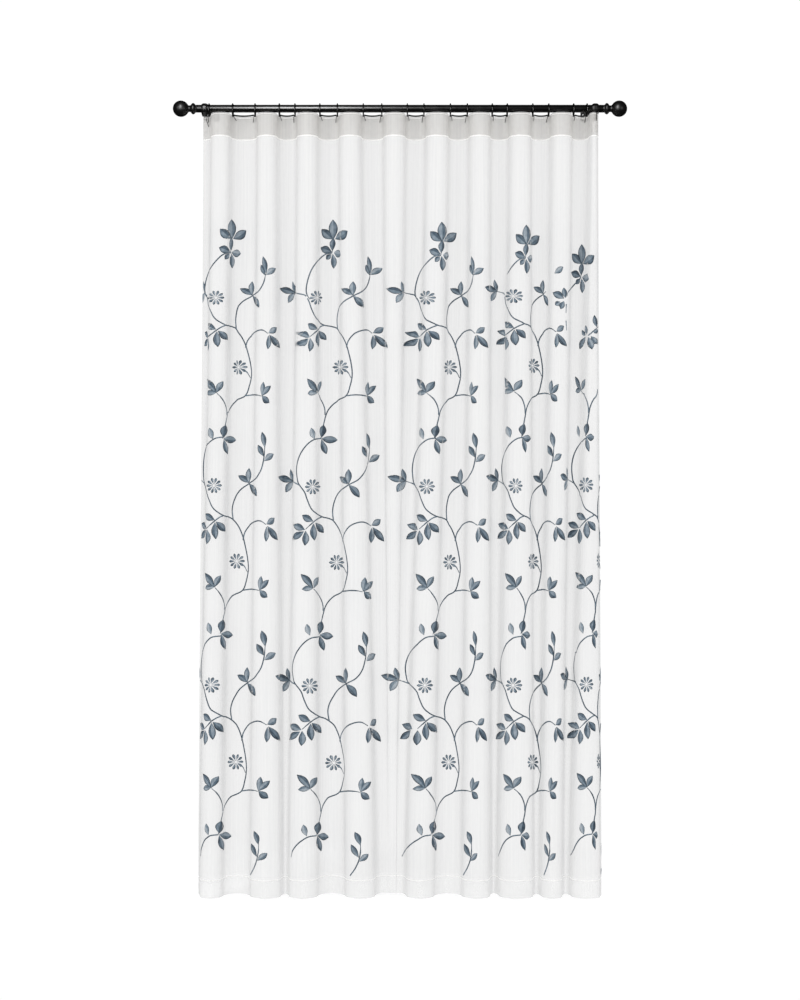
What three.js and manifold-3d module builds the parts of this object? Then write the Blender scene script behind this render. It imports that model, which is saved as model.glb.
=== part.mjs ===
// A sheer voile curtain hung by rings and hooks from a black pole with ball ends.
// Millimetres, +Z up. The room is on the -Y side and the wall is the plane Y = 0.
// The origin is on the wall, level with the pole and midway between its two brackets.
import * as THREE from 'three';
import { mergeVertices } from 'three/addons/utils/BufferGeometryUtils.js';
import Module from 'manifold-3d';

const wasm = await Module();
wasm.setup();

const GAP = 0.3;

// Flat sides that stand for each round shape
const SIDES = { pole: 24, finial: 18, cup: 20, boss: 16, arm: 12, ring: 16, wire: 6, link: 8 };

// Pole and its ends
const POLE_RADIUS = 12;
const POLE_HALF_LENGTH = 636;
const POLE_OUT = 100;
const BEAD = { radius: 17.5, centre: 648, halfLength: 9.5, fromDegrees: 42, toDegrees: 138 };
const WAIST_RADIUS = 10;
const BALL = { radius: 25.2, centre: 686.6, fromDegrees: 28, toDegrees: 180 };

// Wall brackets
const BRACKET_X = 612;
const CUP = { radius: 16.6, halfWidth: 9.5, lip: 14.4, crown: 4.3 };
const BOSS = { topRadius: 11, bottomRadius: 7.5, bottom: -24 };
const ARM = { radius: 6, leavesCup: 73.5, reachesPlate: 26 };
const PLATE = { x: 600, width: 50, height: 40, thickness: 5, corner: 6 };
const SCREW_HOLE = { radius: 2.6, apart: 34 };

// Rings, hooks and the short cords from ring to ring
const RING = { radius: 19.5, wire: 2, besideCloth: 6 };
const HOOK = { wire: 1.2, eye: 3.75, across: 3.8, eyeDegrees: [135, 100, 66, 33, 0], neck: 2.5 };
const HOOK_TIP = { atFoldStart: -31, atFoldEnd: -37, leftEnd: -50, rightEnd: -45 };
const LEFT_HOOK = { fromBracket: 5.5, straight: 6, bend: 5 };
const RIGHT_HOOK = { aboveCloth: 2.4, bend: 3 };
const LINK = { radius: 2.5, forward: 6.5, endHeight: -21.8, sag: 3, fromRing: 0.9, steps: 6 };

// The cloth and the tape behind its top
const CLOTH_THICKNESS = 1.2;
const CLOTH_TOP = -18;
const CLOTH_BOTTOM = -2467.5;
const HEADING_BOTTOM = -91;
const HEM_DEPTH = 56;
const TAPE = { thickness: 1.2, inset: 2 };
const LEFT_EDGE = { heading: -620.5, hem: -636 };
const FOLD_ROUNDNESS = { heading: 2.7, body: 2, softensOver: 290 };
const QUARTER_DEGREES = [0, 36, 67, 90];
const BODY_ROWS = 8;

// A row for each fold from the left: where it ends across the window, and how far its crest
// stands towards the room (minus is towards the wall), at the heading and at the hem.
// The last row is the cloth's right edge.
const FOLDS = table(['headingEnd', 'headingDepth', 'hemEnd', 'hemDepth'], [
  [-592, -38, -628, -34],
  [-530, 40, -555, 41],
  [-448, -38, -470, -38],
  [-384, 40, -373, 42],
  [-323, -38, -348, -30],
  [-257, 41, -257, 41],
  [-190, -39, -172, -41],
  [-121, 40, -78, 41],
  [-51, -39, -38, -41],
  [17, 41, -12, -40],
  [81, -38, 19, -41],
  [152, 40, 107, 41],
  [217, -38, 194, -38],
  [283, 40, 282, 42],
  [342, -39, 310, -40],
  [410, 41, 417, 43],
  [472, -38, 442, -30],
  [538, 40, 508, 41],
  [592, -38, 536, -30],
  [616, 37, 625, 42],
  [620.5, 10, 632, -5],
]);

const FINISH = {
  voile: finish('#eff0f0', 0.9, 0),
  tape: finish('#dddcd6', 0.95, 0),
  blackMetal: finish('#151515', 0.38, 0.6),
  blackCord: finish('#131313', 0.8, 0),
};

function table(columns, rows) {
  return rows.map((row) => Object.fromEntries(columns.map((name, i) => [name, row[i]])));
}

function finish(colour, roughness, metalness) {
  return new THREE.MeshStandardMaterial({ color: colour, roughness, metalness });
}

function pieceMesh(name, geometry, material) {
  const mesh = new THREE.Mesh(geometry, material);
  mesh.name = name;
  return mesh;
}

// Booleans work on closed meshes whose shared corners are merged.
function toSolid(geometry) {
  const bare = geometry.clone();
  bare.deleteAttribute('normal');
  bare.deleteAttribute('uv');
  const merged = mergeVertices(bare, 1e-4);
  return new wasm.Manifold(new wasm.Mesh({
    numProp: 3,
    vertProperties: new Float32Array(merged.attributes.position.array),
    triVerts: new Uint32Array(merged.index.array),
  }));
}

function fromSolid(solid) {
  const mesh = solid.getMesh();
  const geometry = new THREE.BufferGeometry();
  geometry.setAttribute('position', new THREE.BufferAttribute(mesh.vertProperties, 3));
  geometry.setIndex(new THREE.BufferAttribute(mesh.triVerts, 1));
  geometry.computeVertexNormals();
  return geometry;
}

// A wire or cord follows its own list of points, one step from each point to the next.
class Route extends THREE.CatmullRomCurve3 {
  getUtoTmapping(u) {
    return u;
  }
}

function tubeAlong(points, radius, sides) {
  const section = new THREE.Shape();
  section.setFromPoints(Array.from({ length: sides }, (_, i) => {
    const angle = (2 * Math.PI * i) / sides;
    return new THREE.Vector2(radius * Math.cos(angle), radius * Math.sin(angle));
  }));
  return new THREE.ExtrudeGeometry(section, {
    steps: points.length - 1,
    bevelEnabled: false,
    extrudePath: new Route(points),
  });
}

// A profile of [radius, distance along the axis] turned about the pole's axis, which runs along X.
function turned(profile, segments) {
  const points = profile.map(([radius, along]) => new THREE.Vector2(radius, along));
  const geometry = new THREE.LatheGeometry(points, segments);
  geometry.rotateZ(-Math.PI / 2);
  return geometry;
}

// Where each crest lies, and its depth, with fall from 0 at the heading to 1 at the hem.
function crestsAt(fall) {
  const mix = (heading, hem) => THREE.MathUtils.lerp(heading, hem, fall);
  const ends = FOLDS.map((fold) => mix(fold.headingEnd, fold.hemEnd));
  return FOLDS.map((fold, i) => {
    const middle = i > 0 ? (ends[i - 1] + ends[i]) / 2 : mix(LEFT_EDGE.heading, LEFT_EDGE.hem);
    return {
      x: i === FOLDS.length - 1 ? ends[i] : middle,
      depth: mix(fold.headingDepth, fold.hemDepth),
      end: ends[i],
    };
  });
}

// The cloth's line seen from above at one height. Between two crests it is two quarters of a
// superellipse that meet where one fold ends and the next starts.
function foldLine(z) {
  const crests = crestsAt(fallAt(z));
  const { heading, body, softensOver } = FOLD_ROUNDNESS;
  const softened = THREE.MathUtils.clamp((HEADING_BOTTOM - z) / softensOver, 0, 1);
  const power = 2 / THREE.MathUtils.lerp(heading, body, softened);
  const quarter = (crest, end, middle, degrees) => {
    const angle = THREE.MathUtils.degToRad(degrees);
    const along = Math.sin(angle) ** power;
    const out = Math.max(0, Math.cos(angle)) ** power;
    return {
      x: crest.x + (end - crest.x) * along,
      y: -POLE_OUT - (middle + (crest.depth - middle) * out),
    };
  };
  const line = [];
  for (let i = 0; i < crests.length - 1; i += 1) {
    const middle = (crests[i].depth + crests[i + 1].depth) / 2;
    for (const degrees of QUARTER_DEGREES) {
      line.push(quarter(crests[i], crests[i].end, middle, degrees));
    }
    for (const degrees of QUARTER_DEGREES.slice(1, -1).reverse()) {
      line.push(quarter(crests[i + 1], crests[i].end, middle, degrees));
    }
  }
  const last = crests[crests.length - 1];
  line.push({ x: last.x, y: -POLE_OUT - last.depth });
  return line;
}

// The same line moved towards the room by a distance, kept parallel at every corner.
function parallelLine(line, distance) {
  return line.map((point, i) => {
    const before = line[Math.max(0, i - 1)];
    const after = line[Math.min(line.length - 1, i + 1)];
    const into = unit(i > 0 ? point.x - before.x : after.x - point.x,
      i > 0 ? point.y - before.y : after.y - point.y);
    const out = unit(i < line.length - 1 ? after.x - point.x : into.x,
      i < line.length - 1 ? after.y - point.y : into.y);
    const along = unit(into.x + out.x, into.y + out.y);
    const stretch = distance / (along.x * out.x + along.y * out.y);
    return { x: point.x + along.y * stretch, y: point.y - along.x * stretch };
  });
}

function unit(x, y) {
  const length = Math.hypot(x, y);
  return { x: x / length, y: y / length };
}

// How far the folds have gone from their places in the heading (0) to those at the hem (1).
function fallAt(z) {
  const share = THREE.MathUtils.clamp((HEADING_BOTTOM - z) / (HEADING_BOTTOM - CLOTH_BOTTOM), 0, 1);
  return (share + THREE.MathUtils.smoothstep(share, 0, 1)) / 2;
}

// A closed sheet between a room side and a wall side, each a list of rows from the top down.
function sheetBetween(roomSide, wallSide) {
  const rows = roomSide.length;
  const columns = roomSide[0].length;
  const corners = [...roomSide.flat(), ...wallSide.flat()].flatMap((p) => [p.x, p.y, p.z]);
  const room = (r, c) => r * columns + c;
  const wall = (r, c) => (rows + r) * columns + c;
  const faces = [];
  const four = (a, b, c, d) => faces.push(a, b, c, a, c, d);
  for (let r = 0; r < rows - 1; r += 1) {
    for (let c = 0; c < columns - 1; c += 1) {
      four(room(r, c), room(r + 1, c), room(r + 1, c + 1), room(r, c + 1));
      four(wall(r, c), wall(r, c + 1), wall(r + 1, c + 1), wall(r + 1, c));
    }
    const end = columns - 1;
    four(room(r, 0), wall(r, 0), wall(r + 1, 0), room(r + 1, 0));
    four(room(r, end), room(r + 1, end), wall(r + 1, end), wall(r, end));
  }
  for (let c = 0; c < columns - 1; c += 1) {
    const foot = rows - 1;
    four(room(0, c), room(0, c + 1), wall(0, c + 1), wall(0, c));
    four(room(foot, c), wall(foot, c), wall(foot, c + 1), room(foot, c + 1));
  }
  const geometry = new THREE.BufferGeometry();
  geometry.setAttribute('position', new THREE.Float32BufferAttribute(corners, 3));
  geometry.setIndex(faces);
  geometry.computeVertexNormals();
  return geometry;
}

function sheetAlongFolds(heights, roomOffset, wallOffset) {
  const side = (offset) => heights.map((z) => {
    const line = parallelLine(foldLine(z), offset);
    return line.map((point) => ({ ...point, z }));
  });
  return sheetBetween(side(roomOffset), side(wallOffset));
}

function panelGeometry() {
  const hemTop = CLOTH_BOTTOM + HEM_DEPTH;
  const body = Array.from({ length: BODY_ROWS + 1 }, (_, i) => (
    THREE.MathUtils.lerp(HEADING_BOTTOM, hemTop, i / BODY_ROWS)
  ));
  return sheetAlongFolds([CLOTH_TOP, ...body, CLOTH_BOTTOM], CLOTH_THICKNESS / 2, -CLOTH_THICKNESS / 2);
}

// The tape is sewn to the wall side of the cloth, a little in from its top edge and stitch line.
function tapeGeometry() {
  const near = -(CLOTH_THICKNESS / 2 + GAP);
  const heights = [CLOTH_TOP - TAPE.inset, HEADING_BOTTOM + TAPE.inset];
  return sheetAlongFolds(heights, near, near - TAPE.thickness);
}

function poleGeometry() {
  const end = POLE_HALF_LENGTH;
  return turned([[0, -end], [POLE_RADIUS, -end], [POLE_RADIUS, end], [0, end]], SIDES.pole);
}

// The neck, bead, waist and ball of a finial, from the pole's end outwards.
function finialGeometry() {
  const start = POLE_HALF_LENGTH + GAP;
  const arc = (part, steps, axial) => Array.from({ length: steps + 1 }, (_, i) => {
    const degrees = THREE.MathUtils.lerp(part.fromDegrees, part.toDegrees, i / steps);
    const angle = THREE.MathUtils.degToRad(degrees);
    return [part.radius * Math.sin(angle), part.centre - axial * Math.cos(angle)];
  });
  const bead = arc(BEAD, 6, BEAD.halfLength);
  const ball = arc(BALL, 9, BALL.radius);
  ball[ball.length - 1][0] = 0;
  const waist = [WAIST_RADIUS, (BEAD.centre + BALL.centre - BALL.radius + BEAD.halfLength) / 2];
  return turned([[0, start], [POLE_RADIUS, start], ...bead, waist, ...ball], SIDES.finial);
}

// One casting: wall plate with two screw holes, round arm, cup around the pole, boss below it.
function bracketGeometry() {
  const { radius, halfWidth, lip, crown } = CUP;
  const bore = POLE_RADIUS + GAP;
  const cup = turned([
    [POLE_RADIUS, -halfWidth], [lip, -halfWidth], [radius, -crown],
    [radius, crown], [lip, halfWidth], [POLE_RADIUS, halfWidth], [POLE_RADIUS, -halfWidth],
  ], SIDES.cup);
  cup.translate(BRACKET_X, -POLE_OUT, 0);

  const bossTop = -POLE_RADIUS;
  const bossHeight = bossTop - BOSS.bottom;
  const boss = new THREE.CylinderGeometry(BOSS.topRadius, BOSS.bottomRadius, bossHeight, SIDES.boss);
  boss.rotateX(Math.PI / 2);
  boss.translate(BRACKET_X, -POLE_OUT, (bossTop + BOSS.bottom) / 2);

  const arm = tubeAlong([
    new THREE.Vector3(BRACKET_X, -POLE_OUT + POLE_RADIUS, 0),
    new THREE.Vector3(BRACKET_X, -ARM.leavesCup, 0),
    new THREE.Vector3((BRACKET_X + PLATE.x) / 2, -(ARM.leavesCup + ARM.reachesPlate) / 2, 0),
    new THREE.Vector3(PLATE.x, -ARM.reachesPlate, 0),
    new THREE.Vector3(PLATE.x, -PLATE.thickness / 2, 0),
  ], ARM.radius, SIDES.arm);

  let solid = toSolid(cup).add(toSolid(boss)).add(toSolid(arm)).add(toSolid(plateGeometry()));
  const boreTool = turned([
    [0, -halfWidth * 2], [bore, -halfWidth * 2], [bore, halfWidth * 2], [0, halfWidth * 2],
  ], SIDES.pole);
  boreTool.translate(BRACKET_X, -POLE_OUT, 0);
  solid = solid.subtract(toSolid(boreTool));
  return fromSolid(solid);
}

function plateGeometry() {
  const { width, height, corner, thickness } = PLATE;
  const outline = new THREE.Shape();
  outline.moveTo(-width / 2 + corner, -height / 2);
  outline.lineTo(width / 2 - corner, -height / 2);
  outline.absarc(width / 2 - corner, -height / 2 + corner, corner, -Math.PI / 2, 0);
  outline.lineTo(width / 2, height / 2 - corner);
  outline.absarc(width / 2 - corner, height / 2 - corner, corner, 0, Math.PI / 2);
  outline.lineTo(-width / 2 + corner, height / 2);
  outline.absarc(-width / 2 + corner, height / 2 - corner, corner, Math.PI / 2, Math.PI);
  outline.lineTo(-width / 2, -height / 2 + corner);
  outline.absarc(-width / 2 + corner, -height / 2 + corner, corner, Math.PI, 1.5 * Math.PI);
  for (const side of [-1, 1]) {
    const hole = new THREE.Path();
    hole.absarc((side * SCREW_HOLE.apart) / 2, 0, SCREW_HOLE.radius, 0, 2 * Math.PI, true);
    outline.holes.push(hole);
  }
  const geometry = new THREE.ExtrudeGeometry(outline, {
    depth: thickness, bevelEnabled: false, curveSegments: 4,
  });
  geometry.rotateX(Math.PI / 2);
  geometry.translate(PLATE.x, 0, 0);
  return geometry;
}

// A mirrored copy for the other end, with its faces turned to point out again.
function mirrored(geometry) {
  const copy = geometry.index ? geometry.toNonIndexed() : geometry.clone();
  const position = copy.attributes.position;
  for (let i = 0; i < position.count; i += 3) {
    const corners = [0, 1, 2].map((k) => new THREE.Vector3().fromBufferAttribute(position, i + k));
    [corners[0], corners[2], corners[1]].forEach((corner, k) => {
      position.setXYZ(i + k, -corner.x, corner.y, corner.z);
    });
  }
  copy.computeVertexNormals();
  return copy;
}

// Each ring stands beside the place where the cloth crosses under the pole, over the back fold.
function ringPlaces() {
  return FOLDS.slice(0, -2).map((fold) => {
    const side = fold.headingDepth > 0 ? 1 : -1;
    return { x: fold.headingEnd + side * RING.besideCloth, side };
  });
}

// A ring hangs on the inner flats of its facets.
const RING_CENTRE = POLE_RADIUS + GAP - (RING.radius - RING.wire) * Math.cos(Math.PI / SIDES.ring);
const RING_FOOT = RING_CENTRE - RING.radius;

function ringGeometry() {
  const geometry = new THREE.TorusGeometry(RING.radius, RING.wire, SIDES.wire, SIDES.ring);
  geometry.rotateY(Math.PI / 2);
  return geometry;
}

// The corner of the cloth's heading line that lies nearest to a place along the pole.
function clothCornerNear(x) {
  const line = foldLine(CLOTH_TOP);
  const front = parallelLine(line, CLOTH_THICKNESS / 2 + GAP + HOOK.wire);
  const distances = line.map((point) => Math.abs(point.x - x));
  return front[distances.indexOf(Math.min(...distances))];
}

// A wire hook: its eye goes over the foot of the ring, and its pin slants back to the cloth.
function hookGeometry(ring) {
  const eyePoint = (degrees) => {
    const angle = THREE.MathUtils.degToRad(degrees);
    return new THREE.Vector3(
      ring.x + ring.side * HOOK.eye * Math.cos(angle),
      -POLE_OUT,
      RING_FOOT + HOOK.eye * Math.sin(angle),
    );
  };
  const tip = clothCornerNear(ring.x + ring.side * HOOK.across);
  const tipHeight = ring.side > 0 ? HOOK_TIP.atFoldStart : HOOK_TIP.atFoldEnd;
  const shank = new THREE.Vector3(ring.x + ring.side * HOOK.eye, -POLE_OUT, RING_FOOT - HOOK.neck);
  const points = HOOK.eyeDegrees.map(eyePoint);
  return tubeAlong([...points, shank, new THREE.Vector3(tip.x, tip.y, tipHeight)], HOOK.wire, SIDES.wire);
}

// The first hook hangs under the left bracket's boss and slants back to the cloth's edge.
function leftEndHookGeometry() {
  const x = -BRACKET_X + LEFT_HOOK.fromBracket;
  const tip = clothCornerNear(x);
  const top = BOSS.bottom - GAP;
  return tubeAlong([
    new THREE.Vector3(x, -POLE_OUT, top),
    new THREE.Vector3(x, -POLE_OUT, top - LEFT_HOOK.straight),
    new THREE.Vector3(x, -POLE_OUT + LEFT_HOOK.bend, top - 2 * LEFT_HOOK.straight),
    new THREE.Vector3(tip.x, tip.y, HOOK_TIP.leftEnd),
  ], HOOK.wire, SIDES.wire);
}

// The last hook comes forward from the right bracket's cup and over the cloth's top edge.
function rightEndHookGeometry() {
  const x = BRACKET_X;
  const reach = CUP.radius + GAP + HOOK.wire;
  const height = CLOTH_TOP + RIGHT_HOOK.aboveCloth + HOOK.wire;
  const start = -POLE_OUT - Math.sqrt(reach ** 2 - height ** 2) - GAP;
  const front = frontOfClothAt(x - HOOK.wire - GAP) - GAP - HOOK.wire;
  return tubeAlong([
    new THREE.Vector3(x, start, height),
    new THREE.Vector3(x, front + RIGHT_HOOK.bend, height),
    new THREE.Vector3(x, front, height - RIGHT_HOOK.bend),
    new THREE.Vector3(x, front, HOOK_TIP.rightEnd),
  ], HOOK.wire, SIDES.wire);
}

// The room side of the cloth's heading straight in front of a place along the pole.
function frontOfClothAt(x) {
  const line = parallelLine(foldLine(CLOTH_TOP), CLOTH_THICKNESS / 2);
  const after = line.findIndex((point) => point.x > x);
  const share = (x - line[after - 1].x) / (line[after].x - line[after - 1].x);
  return THREE.MathUtils.lerp(line[after - 1].y, line[after].y, share);
}

// A short black cord hangs from ring to ring across each back fold.
function linkGeometry(from, to) {
  const start = from.x + RING.wire + LINK.fromRing;
  const end = to.x - RING.wire - LINK.fromRing;
  return tubeAlong(Array.from({ length: LINK.steps + 1 }, (_, i) => {
    const share = i / LINK.steps;
    const drop = LINK.sag * 4 * share * (1 - share);
    const x = THREE.MathUtils.lerp(start, end, share);
    return new THREE.Vector3(x, -POLE_OUT - LINK.forward, LINK.endHeight - drop);
  }), LINK.radius, SIDES.link);
}

const curtain = new THREE.Group();

const cloth = new THREE.Group();
cloth.add(pieceMesh('panel', panelGeometry(), FINISH.voile));
cloth.add(pieceMesh('heading_tape', tapeGeometry(), FINISH.tape));
curtain.add(cloth);

const rail = new THREE.Group();
rail.position.set(0, -POLE_OUT, 0);
rail.add(pieceMesh('pole', poleGeometry(), FINISH.blackMetal));
rail.add(pieceMesh('finial_right', finialGeometry(), FINISH.blackMetal));
rail.add(pieceMesh('finial_left', mirrored(finialGeometry()), FINISH.blackMetal));
curtain.add(rail);

curtain.add(pieceMesh('bracket_right', bracketGeometry(), FINISH.blackMetal));
curtain.add(pieceMesh('bracket_left', mirrored(bracketGeometry()), FINISH.blackMetal));

ringPlaces().forEach((ring, i, rings) => {
  const number = String(i + 1).padStart(2, '0');
  const mesh = pieceMesh(`ring_${number}`, ringGeometry(), FINISH.blackMetal);
  mesh.position.set(ring.x, -POLE_OUT, RING_CENTRE);
  curtain.add(mesh);
  curtain.add(pieceMesh(`hook_${number}`, hookGeometry(ring), FINISH.blackMetal));
  if (ring.side < 0 && i > 0) {
    const link = linkGeometry(rings[i - 1], ring);
    curtain.add(pieceMesh(`link_${i / 2}`, link, FINISH.blackCord));
  }
});
curtain.add(pieceMesh('hook_left_end', leftEndHookGeometry(), FINISH.blackMetal));
curtain.add(pieceMesh('hook_right_end', rightEndHookGeometry(), FINISH.blackMetal));

export default curtain;
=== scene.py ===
# %% [markdown]
# A sheer voile curtain on its pole.
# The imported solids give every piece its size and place. This file gives the curtain its looks:
# the thin cloth on its folds, the turned hems, the blue satin-stitch vines and the black metal.

import math

import bpy
import numpy as np
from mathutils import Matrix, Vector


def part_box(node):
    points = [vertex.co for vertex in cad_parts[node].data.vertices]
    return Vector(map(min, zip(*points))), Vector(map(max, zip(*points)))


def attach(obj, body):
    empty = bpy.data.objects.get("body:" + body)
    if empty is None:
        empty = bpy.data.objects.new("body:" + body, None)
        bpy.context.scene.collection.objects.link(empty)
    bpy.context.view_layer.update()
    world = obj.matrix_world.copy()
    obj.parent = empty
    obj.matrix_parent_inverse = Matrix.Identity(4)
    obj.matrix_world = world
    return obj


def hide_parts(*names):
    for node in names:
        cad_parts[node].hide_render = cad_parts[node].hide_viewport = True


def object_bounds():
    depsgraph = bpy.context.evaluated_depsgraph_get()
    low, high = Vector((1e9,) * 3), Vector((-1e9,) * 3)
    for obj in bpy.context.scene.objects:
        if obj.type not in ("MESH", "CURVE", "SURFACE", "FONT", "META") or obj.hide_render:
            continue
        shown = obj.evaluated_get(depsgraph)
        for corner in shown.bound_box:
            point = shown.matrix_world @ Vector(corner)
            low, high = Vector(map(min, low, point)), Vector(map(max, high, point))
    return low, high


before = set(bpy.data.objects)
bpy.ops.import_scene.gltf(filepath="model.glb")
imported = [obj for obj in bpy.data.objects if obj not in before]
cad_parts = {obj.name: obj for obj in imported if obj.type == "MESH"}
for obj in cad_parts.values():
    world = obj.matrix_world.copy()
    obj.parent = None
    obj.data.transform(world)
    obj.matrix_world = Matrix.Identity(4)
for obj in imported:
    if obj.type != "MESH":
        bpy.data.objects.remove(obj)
cad_box = [list(map(float, corner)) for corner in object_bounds()]
print("frame box in metres:", cad_box)

MM = 0.001

# %% [markdown]
# The photograph looks straight at the curtain from the height of its middle, so the camera is level.
# The small difference in scale between front and back folds gives its distance.
# The camera is therefore placed first, from the same scale that gave the solids their size.

# %% Camera
PICTURE_HEIGHT = 1000
POLE_ROW = 108.7
MM_PER_PIXEL = 3.134
CAMERA_DISTANCE = 5800
SENSOR = 36.0

pole_low, pole_high = (np.array(corner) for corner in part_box("pole"))
POLE_Y, POLE_Z = ((pole_low + pole_high) / 2)[1:] / MM
EYE_Z = POLE_Z - (PICTURE_HEIGHT / 2 - POLE_ROW) * MM_PER_PIXEL

camera_data = bpy.data.cameras.new("camera")
camera_data.sensor_width = SENSOR
camera_data.lens = SENSOR * CAMERA_DISTANCE / (PICTURE_HEIGHT * MM_PER_PIXEL)
camera = bpy.data.objects.new("camera", camera_data)
camera.location = (0.0, (POLE_Y - CAMERA_DISTANCE) * MM, EYE_Z * MM)
camera.rotation_euler = (math.radians(90), 0, 0)
bpy.context.collection.objects.link(camera)
bpy.context.scene.camera = camera
print("camera at", tuple(round(v, 3) for v in camera.location), "lens", round(camera_data.lens, 1))

# %% [markdown]
# A few helpers serve every piece. One puts whole arrays into a mesh, one turns an sRGB hex value into
# the linear colour that shaders expect, and the rest add the nodes that most finishes share.

# %% Helpers
def mesh_piece(name, points, faces, material, uv=None, values=None):
    """A smooth mesh object at the origin, from an (n, 3) array in millimetres and a (k, 4) face array."""
    mesh = bpy.data.meshes.new(name)
    mesh.vertices.add(len(points))
    mesh.vertices.foreach_set("co", np.ascontiguousarray(points * MM, dtype=np.float32).ravel())
    mesh.loops.add(faces.size)
    mesh.loops.foreach_set("vertex_index", np.ascontiguousarray(faces, dtype=np.int32).ravel())
    mesh.polygons.add(len(faces))
    mesh.polygons.foreach_set("loop_start", np.arange(len(faces), dtype=np.int32) * faces.shape[1])
    mesh.update(calc_edges=True)
    mesh.polygons.foreach_set("use_smooth", np.full(len(faces), True))
    if uv is not None:
        layer = mesh.uv_layers.new(name="UVMap")
        layer.data.foreach_set("uv", np.ascontiguousarray(uv[faces.ravel()], dtype=np.float32).ravel())
    for key, array in (values or {}).items():
        attribute = mesh.attributes.new(key, "FLOAT", "POINT")
        attribute.data.foreach_set("value", np.ascontiguousarray(array, dtype=np.float32))
    mesh.materials.append(material)
    mesh.validate()
    piece = bpy.data.objects.new(name, mesh)
    bpy.context.collection.objects.link(piece)
    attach(piece, "root")
    print(name, len(faces), "faces")
    return piece


def grid_faces(rows, columns):
    """Four-cornered faces of a grid of rows by columns whose points are stored row by row."""
    r, c = np.meshgrid(np.arange(rows - 1), np.arange(columns - 1), indexing="ij")
    corner = (r * columns + c).ravel()
    return np.stack([corner, corner + columns, corner + columns + 1, corner + 1], axis=1)


def linear(hex_colour):
    """The linear colour of an sRGB hex value, with alpha 1."""
    channels = np.array([int(hex_colour[i:i + 2], 16) for i in (1, 3, 5)]) / 255
    low, high = channels / 12.92, ((channels + 0.055) / 1.055) ** 2.4
    return (*(float(v) for v in np.where(channels <= 0.04045, low, high)), 1.0)


def add_node(tree, kind, settings=None, inputs=None):
    """A node of a kind with its property settings; each input is given a value or another socket."""
    node = tree.nodes.new(kind)
    for name, value in (settings or {}).items():
        setattr(node, name, value)
    for name, value in (inputs or {}).items():
        if isinstance(value, bpy.types.NodeSocket):
            tree.links.new(value, node.inputs[name])
        else:
            node.inputs[name].default_value = value
    return node


def new_material(name):
    """An empty node material, with its node tree."""
    material = bpy.data.materials.new(name)
    material.use_nodes = True
    material.node_tree.nodes.clear()
    return material, material.node_tree


def ramp(tree, source, stops):
    """A colour ramp from a list of (place, hex colour)."""
    node = add_node(tree, "ShaderNodeValToRGB", inputs={"Fac": source})
    elements = node.color_ramp.elements
    while len(elements) < len(stops):
        elements.new(0.5)
    for element, (place, colour) in zip(elements, stops):
        element.position, element.color = place, linear(colour)
    return node.outputs["Color"]


def object_place(tree):
    """The place of each point on the object, in metres."""
    return add_node(tree, "ShaderNodeTexCoord").outputs["Object"]


def noise(tree, place, scale, detail):
    """Cloudy noise from 0 to 1, with clouds about 1 / scale across."""
    inputs = {"Vector": place, "Scale": scale, "Detail": detail, "Roughness": 0.5}
    return add_node(tree, "ShaderNodeTexNoise", inputs=inputs).outputs["Fac"]


def bumped(tree, strength, distance, height):
    """A surface direction that follows a height."""
    inputs = {"Strength": strength, "Distance": distance, "Height": height}
    return add_node(tree, "ShaderNodeBump", inputs=inputs).outputs["Normal"]


def eased_step(tree, value, start, end, low, high):
    """A smooth step from low to high as a value goes from start to end."""
    return add_node(tree, "ShaderNodeMapRange", {"interpolation_type": "SMOOTHSTEP"}, {
        "Value": value, "From Min": start, "From Max": end, "To Min": low, "To Max": high}).outputs[0]


def finish_with(tree, inputs):
    """Ends a material with one general shader."""
    shader = add_node(tree, "ShaderNodeBsdfPrincipled", inputs={"IOR": 1.5, **inputs})
    add_node(tree, "ShaderNodeOutputMaterial", inputs={"Surface": shader.outputs[0]})


def math_node(tree, operation, a, b, clamp=False):
    """The result of one sum on two sockets or numbers."""
    settings = {"operation": operation, "use_clamp": clamp}
    return add_node(tree, "ShaderNodeMath", settings, {0: a, 1: b}).outputs[0]


# %% [markdown]
# Voile is a plain weave of fine, hard-twisted polyester yarn with more air than thread. It hangs
# from rings in deep soft folds. A cloth simulation would settle somewhere else on each run, so the
# folds are a surface worked out from one row of numbers for each fold, the same rows as the solids.

# %% The folds
CLOTH_TOP = -18.0
CLOTH_BOTTOM = -2467.5
HEADING_BOTTOM = -91.0
HEM_DEPTH = 56.0
LEFT_EDGE = (-620.5, -636.0)
# Squareness of the folds' rounds at four heights: 2 is an ellipse, more is squarer.
ROUND_HEIGHTS = (-2467.5, -1900.0, -450.0, -91.0)
ROUND_POWERS = (1.75, 2.1, 2.4, 2.1)
# End of the fold across the window and depth towards the room, at the heading and at the hem.
FOLDS = np.array([
    [-592, -38, -628, -34], [-530, 40, -555, 41], [-448, -38, -470, -38], [-384, 40, -373, 42],
    [-323, -38, -348, -30], [-257, 41, -257, 41], [-190, -39, -172, -41], [-121, 40, -78, 41],
    [-51, -39, -38, -41], [17, 41, -12, -40], [81, -38, 19, -41], [152, 40, 107, 41],
    [217, -38, 194, -38], [283, 40, 282, 42], [342, -39, 310, -40], [410, 41, 417, 43],
    [472, -38, 442, -30], [538, 40, 508, 41], [592, -38, 536, -30], [616, 37, 625, 42],
    [620.5, 10, 632, -5],
])
LAST = len(FOLDS) - 1


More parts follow.
